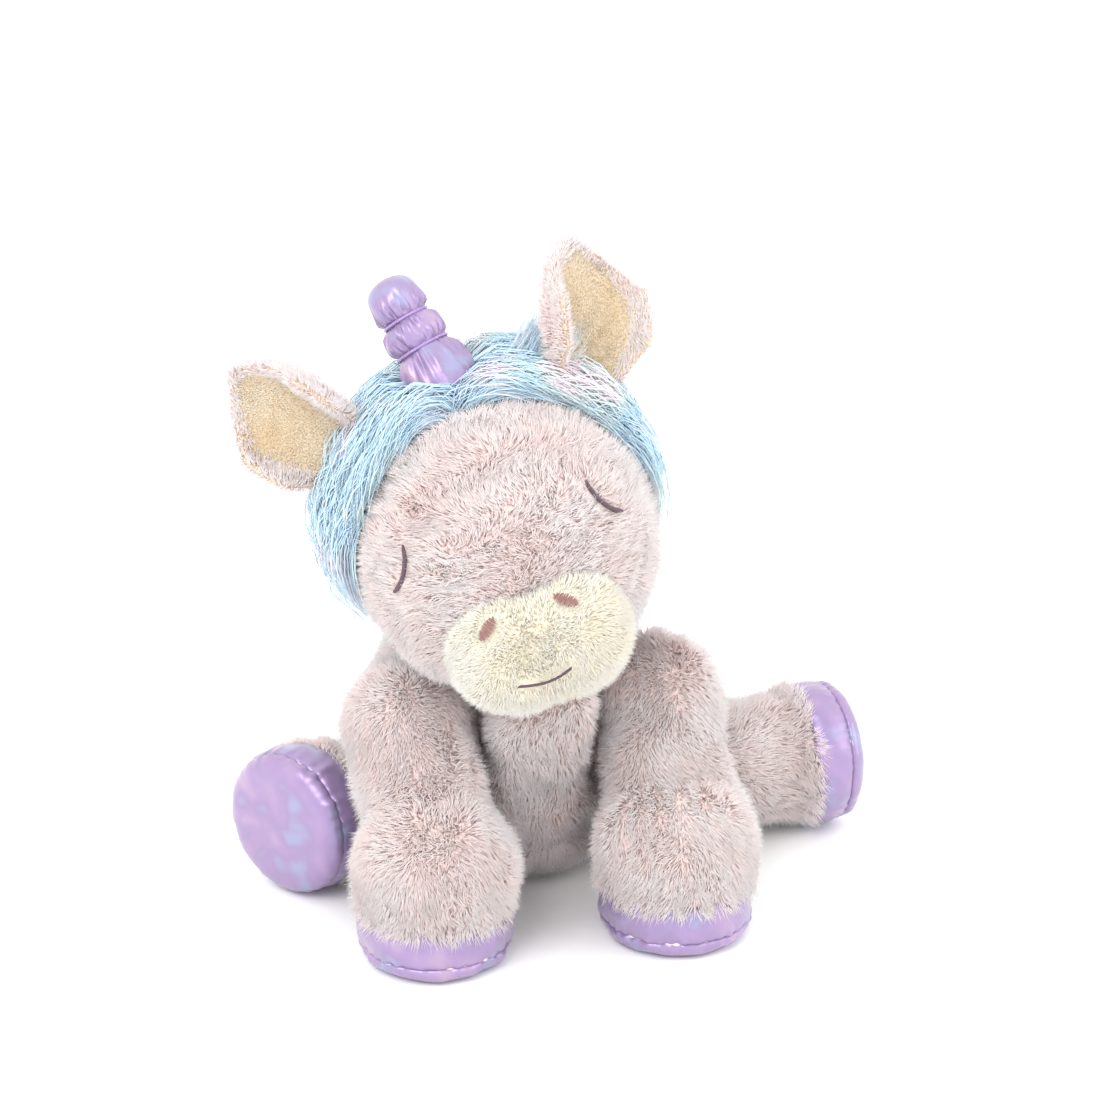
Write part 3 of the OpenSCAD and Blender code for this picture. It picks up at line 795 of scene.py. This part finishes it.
push = sum(1.15 * pleats(angle, 120 + i, 26) * np.exp(-np.abs(points[:, 2] - z) / reach)
           for i, (z, reach) in enumerate(pleat_rows))
push *= np.clip(np.minimum(*[np.abs(points[:, 2] - z) for z in HORN_RINGS]) / 2.5, 0.1, 1)
push += 0.5 * swirl(points, 12, 125)[:, 0]
points[:, :2] *= (1 + push / np.maximum(out, 4))[:, None]
put(horn, points)
only(horn)
bpy.ops.object.shade_smooth()
horn_matrix = (Matrix.Translation(HORN_AT) @ Matrix(HEAD_TURN.tolist()).to_4x4()
               @ Matrix.Rotation(math.radians(HORN_LEAN), 4, "Y"))
placed(horn, horn_matrix)
horn.data.materials.append(foil)
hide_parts("horn_cover", "horn_filling")
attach(horn, "horn")

sewing_thread = thread_material("polyester_sewing_thread", "#8A6FA6", "#B59BCB")
for node in ("horn_threads", "neck_thread"):
    nodes[node].data.materials.clear()
    nodes[node].data.materials.append(sewing_thread)

# ---------------------------------------------------------------- ears
# Cupped leaves of pink minky lined with cream velour, each gathered to a point and sewn to the crown.
# The pink pile wraps over the rim of the lining.
EARS = {"right": ((-38.5, 5, 45.7), -37, -22), "left": ((45.5, 5, 38.7), 14, 34)}
EAR_AXIS, EAR_L, EAR_W = -22.5, 68, 42
LEAF_R = (EAR_W ** 2 + EAR_L ** 2) / 4 / EAR_W
RIM = 4.5
velour = pile_material("velour_cream", "#DFCBAC", "#F6EAD4", "#FFF8EA", "#F3E4CA", sheen=0.5)
velour_backing = backing_material("knit_backing_velour", "#DCCDB2", "#BFA683")


def ear_matrix(side):
    (x, y, z), lean, turn = EARS[side]
    root = Vector((x, y, z)).normalized() * HEAD_R
    return (Matrix.Translation(HEAD_AT) @ Matrix(HEAD_TURN.tolist()).to_4x4() @ Matrix.Translation(root)
            @ Matrix.Rotation(math.radians(lean), 4, "Y") @ Matrix.Rotation(math.radians(turn), 4, "Z"))


for number, side in enumerate(("right", "left")):
    place = ear_matrix(side)
    up = np.array(place.to_3x3() @ Vector((0, 0, 1)))

    def facing_in(points, normals, place=place):
        """1 where a point faces the hollow of the ear, -1 on its back."""
        local = in_frame(points, place)
        local_n = normals @ np.array(place.to_3x3())
        hollow = unit(np.stack([-local[:, 0], EAR_AXIS - local[:, 1], np.zeros(len(local))], 1))
        return np.einsum("ij,ij->i", local_n, hollow)

    def from_rim(points, place=place):
        """How far inside the leaf's outline points are, seen from the front."""
        local = in_frame(points, place)
        return LEAF_R - np.hypot(np.abs(local[:, 0]) + LEAF_R - EAR_W / 2, local[:, 2] - EAR_L / 2)

    def ear_trim(points, place=place):
        return np.interp(in_frame(points, place)[:, 2], [50, EAR_L - 4, EAR_L], [0.8, 0.9, 1.5])

    back = sewn_skin(f"ear_{side}_back_skin", [f"ear_{side}_back"], 1.2, 0, None, eases=3)
    back.data.materials.append(pink_backing)
    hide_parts(f"ear_{side}_back")
    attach(back, f"ear_{side}")
    grow_pile(f"ear_{side}_pile", back, lambda p, n: np.tile(up, (len(p), 1)), f"ear_{side}", "pink_pile",
              pink_pile, 131 + number, density=2.2, length=5.6, width=0.5, lean=0.8, trim=ear_trim,
              keep=lambda p, n: (facing_in(p, n) < 0.35).astype(float))
    lining = sewn_skin(f"ear_{side}_lining_skin", [f"ear_{side}_lining"], 0.9, 0, None, eases=2)
    lining.data.materials.append(velour_backing)
    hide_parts(f"ear_{side}_lining")
    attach(lining, f"ear_{side}")
    grow_pile(f"ear_{side}_velour", lining, lambda p, n: np.tile(up, (len(p), 1)), f"ear_{side}", "ear_cream",
              velour, 135 + number, density=4.0, length=2.2, width=0.42, lean=0.7,
              keep=lambda p, n: ((facing_in(p, n) > 0.0) & (from_rim(p) > RIM - 1.5)).astype(float), ruffle=0.4)
    grow_pile(f"ear_{side}_rim", lining, lambda p, n: 0.8 * n + np.tile(up, (len(p), 1)), f"ear_{side}",
              "pink_pile", pink_pile, 139 + number, density=3.0, length=4.6, width=0.5, lean=0.8, trim=ear_trim,
              keep=lambda p, n: (from_rim(p) < RIM).astype(float))

# ---------------------------------------------------------------- forelock
# Long pastel pile, 25 to 50 mm, sewn across the crown between the ears. It parts at the horn and
# sweeps down to both temples in locks, pale blue with cream, lilac and rose streaks.
hair_pile, tree = new_material("long_pile_pastel")
strand = add_node(tree, "ShaderNodeAttribute", attribute_name="strand")
split = add_node(tree, "ShaderNodeSeparateXYZ", [(strand, "Vector", "Vector")])
own_hue = add_node(tree, "ShaderNodeMath", [(split, "Z", 0)], operation="MULTIPLY")
own_hue.inputs[1].default_value = 0.16
streaks = add_node(tree, "ShaderNodeMath", [(noise_at(tree, 34, detail=1), "Fac", 0), (own_hue, "Value", 1)],
                   operation="ADD")
hue = ramp(tree, streaks, "Value", [(0.38, "#E6E0EE"), (0.48, "#CDE3F0"), (0.60, "#BEDDF0"),
                                    (0.70, "#DCEFEE"), (0.82, "#F3E4EC")])
# Each hair is painted darker and bluer towards its root as shade deep in the locks.
root_shade = ramp(tree, split, "X", [(0.0, "#D5E0EA"), (0.4, "#FFFFFF"), (1.0, "#FFFFFF")])
colour = blend_colours(tree, 0.8, (hue, "Color"), (root_shade, "Color"), "MULTIPLY")
shader = add_node(tree, "ShaderNodeBsdfPrincipled", [(colour, 2, "Base Color")], Roughness=0.55,
                  Specular_IOR_Level=0.3, Sheen_Weight=0.3)
add_node(tree, "ShaderNodeOutputMaterial", [(shader, "BSDF", "Surface")])


def over_head(round_1, back_1, round_2, back_2, rise, droop, steps=7):
    """Paths over the head from one pair of angles to another, raised by rise and fallen by droop at the end."""
    t = np.linspace(0, 1, steps)[None, :]
    a = np.radians(round_1[:, None] + (round_2 - round_1)[:, None] * t)
    b = np.radians(back_1[:, None] + (back_2 - back_1)[:, None] * t ** 1.4)
    r = HEAD_R - 2.5 + rise[:, None] * np.sin(PI * np.clip(t * 0.9, 0, 1) ** 0.65) + 3.0 * t
    local = np.stack([r * np.cos(b) * np.sin(a), r * np.sin(b), r * np.cos(b) * np.cos(a)], 2)
    world_points = local @ HEAD_TURN.T + HEAD_AT
    world_points[..., 2] -= droop[:, None] * t ** 3
    return world_points


rng = np.random.default_rng(151)
many = 12500
start_round = np.concatenate([rng.normal(0, 9, many // 2), rng.uniform(-62, 66, many - many // 2)])
left_side = start_round + rng.normal(0, 4, many) > 0
reach = rng.uniform(24, 42, many) + 8 * (rng.uniform(size=many) < 0.15)
end_round = start_round + np.where(left_side, reach, -reach)
line = hairline(start_round)
share = rng.beta(1.1, 1.6, many)
start_back = line + 2 + share * 62
end_line = hairline(np.clip(end_round, -95, 80)) - rng.exponential(2.5, many)
end_back = end_line + 2 + share * 62
volume = np.interp(start_back, [-28, -12, 8, 40], [7, 18, 28, 22]) * rng.uniform(0.12, 1, many)
volume *= np.interp(start_round, [-70, -40, 30, 66], [0.7, 1, 1, 0.45])
locks = np.round(start_round / 9) * 3.1 + np.round(start_back / 8) * 1.7
end_back += 3.5 * np.sin(locks * 2.3) + rng.normal(0, 1.5, many)
paths = over_head(start_round, start_back, end_round, end_back, volume,
                  rng.uniform(0, 6, many) * (np.abs(end_round) > 60))
horn_root = HORN_AT + 4 * unit(HORN_AT[None] - HEAD_AT)[0]
free_of_horn = np.linalg.norm(paths[:, 1:4] - horn_root, axis=2).min(1) > 15.5
paths = paths[free_of_horn]
order = np.argsort(start_round[free_of_horn])
paths = paths[order]
hair_radius = rng.uniform(0.22, 0.42, len(paths))
settle("forelock_hair", paths, hair_radius, 152, hair_pile, "head")

tuft = 1500
root_round, root_back = rng.uniform(12, 34, tuft), rng.uniform(-8, 26, tuft)
tuft_paths = over_head(root_round, root_back, root_round + rng.uniform(6, 16, tuft),
                       root_back - rng.uniform(0, 8, tuft), rng.uniform(2, 5, tuft), np.zeros(tuft), 6)
crown = HEAD_TURN @ np.array([0.45, 0.0, 0.89])
tall = np.linspace(0, 1, 6) ** 1.3
tuft_paths += crown * (rng.uniform(18, 34, tuft)[:, None, None] * tall[None, :, None])
settle("forelock_tuft", tuft_paths, rng.uniform(0.22, 0.4, tuft), 153, hair_pile, "head")

forelock_base = sewn_skin("forelock_base", ["forelock"], 1.6, 0, None, eases=2)
hair_backing = backing_material("knit_backing_blue", "#C9DCE8", "#B4C8D8")
forelock_base.data.materials.append(hair_backing)
local = to_head(places(forelock_base))
far = np.linalg.norm(local, axis=1, keepdims=True)
put(forelock_base, from_head(local * (np.clip(far, HEAD_R - 3, HEAD_R + 1.5) / far)))
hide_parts("forelock")
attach(forelock_base, "head")

# ---------------------------------------------------------------- neck mane
# The same pile, 18 to 30 mm long, in a strip down the back of the neck, sewn into the back seam.
# It falls to both sides of the strip.


def falling(roots, stands, flow, length, lift, bend, steps=6):
    """Paths that leave a round skin, rise by lift and fall along it the way of flow."""
    t = np.linspace(0, 1, steps)[None, :, None]
    run = length[:, None, None] * t
    flat = unit(flow - stands * np.einsum("ij,ij->i", flow, stands)[:, None])[:, None, :]
    out = lift[:, None, None] * np.sin(PI * np.clip(t, 0, 1) ** 0.6) + 1.5 * t - run ** 2 / (2 * bend)
    return (roots - stands * 0.5)[:, None, :] + flat * run * 0.97 + stands[:, None, :] * out


mane_base = sewn_skin("neck_mane_base", ["neck_mane"], 1.6, 0, None, eases=2)
mane_base.data.materials.append(hair_backing)
only(mane_base)
flat_normals = np.empty(len(mane_base.data.vertices) * 3)
mane_base.data.vertices.foreach_get("normal", flat_normals)
put(mane_base, places(mane_base) - 1.2 * flat_normals.reshape(-1, 3))
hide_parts("neck_mane")
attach(mane_base, "body")

low, high = (np.array(c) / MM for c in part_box("neck_mane"))
MANE_EDGE = 6


def beside(points, normals):
    return ((points > low - MANE_EDGE) & (points < high + MANE_EDGE)).all(1).astype(float)


def outward(points, normals):
    return (normals @ np.array([0, 1.0, 0.5]) > 0.1).astype(float)


for name, skin, density, keep, seed in (("neck_mane_edge", body_skin, 1.1, beside, 161),
                                        ("neck_mane_hair", mane_base, 2.6, outward, 165)):
    roots, stands, air, rng = skin_samples(skin, density, seed, keep)
    side_way = np.sign(roots[:, :1] + rng.normal(0, 5, (len(roots), 1))) * np.array([[0.75, 0, 0]])
    flow = side_way + np.array([0, 0.35, -0.8]) + 0.35 * swirl(roots, 22, seed + 1)
    paths = falling(roots, stands, flow, rng.uniform(18, 30, len(roots)), rng.uniform(2, 6, len(roots)), 62)
    settle(name, paths, rng.uniform(0.24, 0.42, len(paths)), seed + 2, hair_pile, "body")

# ---------------------------------------------------------------- tail
# A brush of the same long pile, gathered at its root and sewn into the back seam. Its core is a
# slim bundle that the outer strands hide.
TAIL_AT = np.array([0.0, 68.0, 42.0])
TAIL_L, TAIL_R = 62, 14
slope = math.radians(112)
tail_way = np.array([0, math.sin(slope), math.cos(slope)])
tail_up = np.array([0, -math.cos(slope), math.sin(slope)])
tail_side = np.array([1.0, 0, 0])
rng = np.random.default_rng(171)
many = 4200
t = np.linspace(0, 1, 8)
brush_r = np.interp(t, [0, 0.12, 0.45, 0.8, 1], [0.25, 0.6, 0.98, 0.72, 0.4]) * (TAIL_R - 0.5)
round_way, share = rng.uniform(0, 2 * PI, many), np.sqrt(rng.uniform(0.15, 1, many))
lock = np.round(round_way * 2.2)
reach = TAIL_L * rng.uniform(0.72, 1.0, many)
turn = round_way[:, None] + 0.35 * np.sin(lock)[:, None] * t[None] + 0.12 * rng.normal(size=(many, 1)) * t[None]
wide = share[:, None] * brush_r[None]
paths = (TAIL_AT + tail_way * (reach[:, None] * t[None])[..., None]
         + tail_side * (wide * np.cos(turn))[..., None] + tail_up * (wide * np.sin(turn))[..., None])
settle("tail_hair", paths, rng.uniform(0.28, 0.5, many), 172, hair_pile, "tail")
tail_core = sewn_skin("tail_core", ["tail"], 2.5, 0, None, eases=4)
tail_core.data.materials.append(hair_backing)
from_root = places(tail_core) - TAIL_AT
along = (from_root @ tail_way)[:, None] * tail_way
put(tail_core, TAIL_AT + 0.9 * along + 0.45 * (from_root - along))
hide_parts("tail")
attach(tail_core, "tail")

# ---------------------------------------------------------------- floor, lights and camera
# A plain pale floor under a white sky and two broad soft lamps. A long lens looks down a little at
# the toy's front.
bpy.ops.mesh.primitive_plane_add(size=6, location=(0, 0, 0))
floor = bpy.context.object
floor.name = "floor"
paper, tree = new_material("matt_paper")
shader = add_node(tree, "ShaderNodeBsdfPrincipled", Base_Color=linear("#FAFAFA"), Roughness=0.9)
add_node(tree, "ShaderNodeOutputMaterial", [(shader, "BSDF", "Surface")])
floor.data.materials.append(paper)

world = bpy.data.worlds.new("studio")
scene.world = world
world.use_nodes = True
world.node_tree.nodes["Background"].inputs["Color"].default_value = (1, 1, 1, 1)
world.node_tree.nodes["Background"].inputs["Strength"].default_value = 1.5
scene.view_settings.view_transform = "Standard"
aim = Vector((0.008, -0.05, 0.152))
for name, place, power, size in (("key", (-0.9, -1.2, 1.5), 18, 1.0), ("fill", (1.4, -0.8, 0.9), 7, 1.2)):
    lamp = bpy.data.objects.new(name, bpy.data.lights.new(name, "AREA"))
    lamp.data.energy, lamp.data.size = power, size
    lamp.location = place
    lamp.rotation_euler = (aim - Vector(place)).to_track_quat("-Z", "Y").to_euler()
    scene.collection.objects.link(lamp)

AZIMUTH, ELEVATION, DISTANCE = math.radians(-12), math.radians(20), 1.048
camera = bpy.data.objects.new("camera", bpy.data.cameras.new("camera"))
camera.data.lens, camera.data.sensor_width = 85, 36
away = Vector((math.sin(AZIMUTH) * math.cos(ELEVATION), -math.cos(AZIMUTH) * math.cos(ELEVATION),
               math.sin(ELEVATION)))
camera.location = aim + DISTANCE * away
camera.rotation_euler = (-away).to_track_quat("-Z", "Y").to_euler()
scene.collection.objects.link(camera)
scene.camera = camera
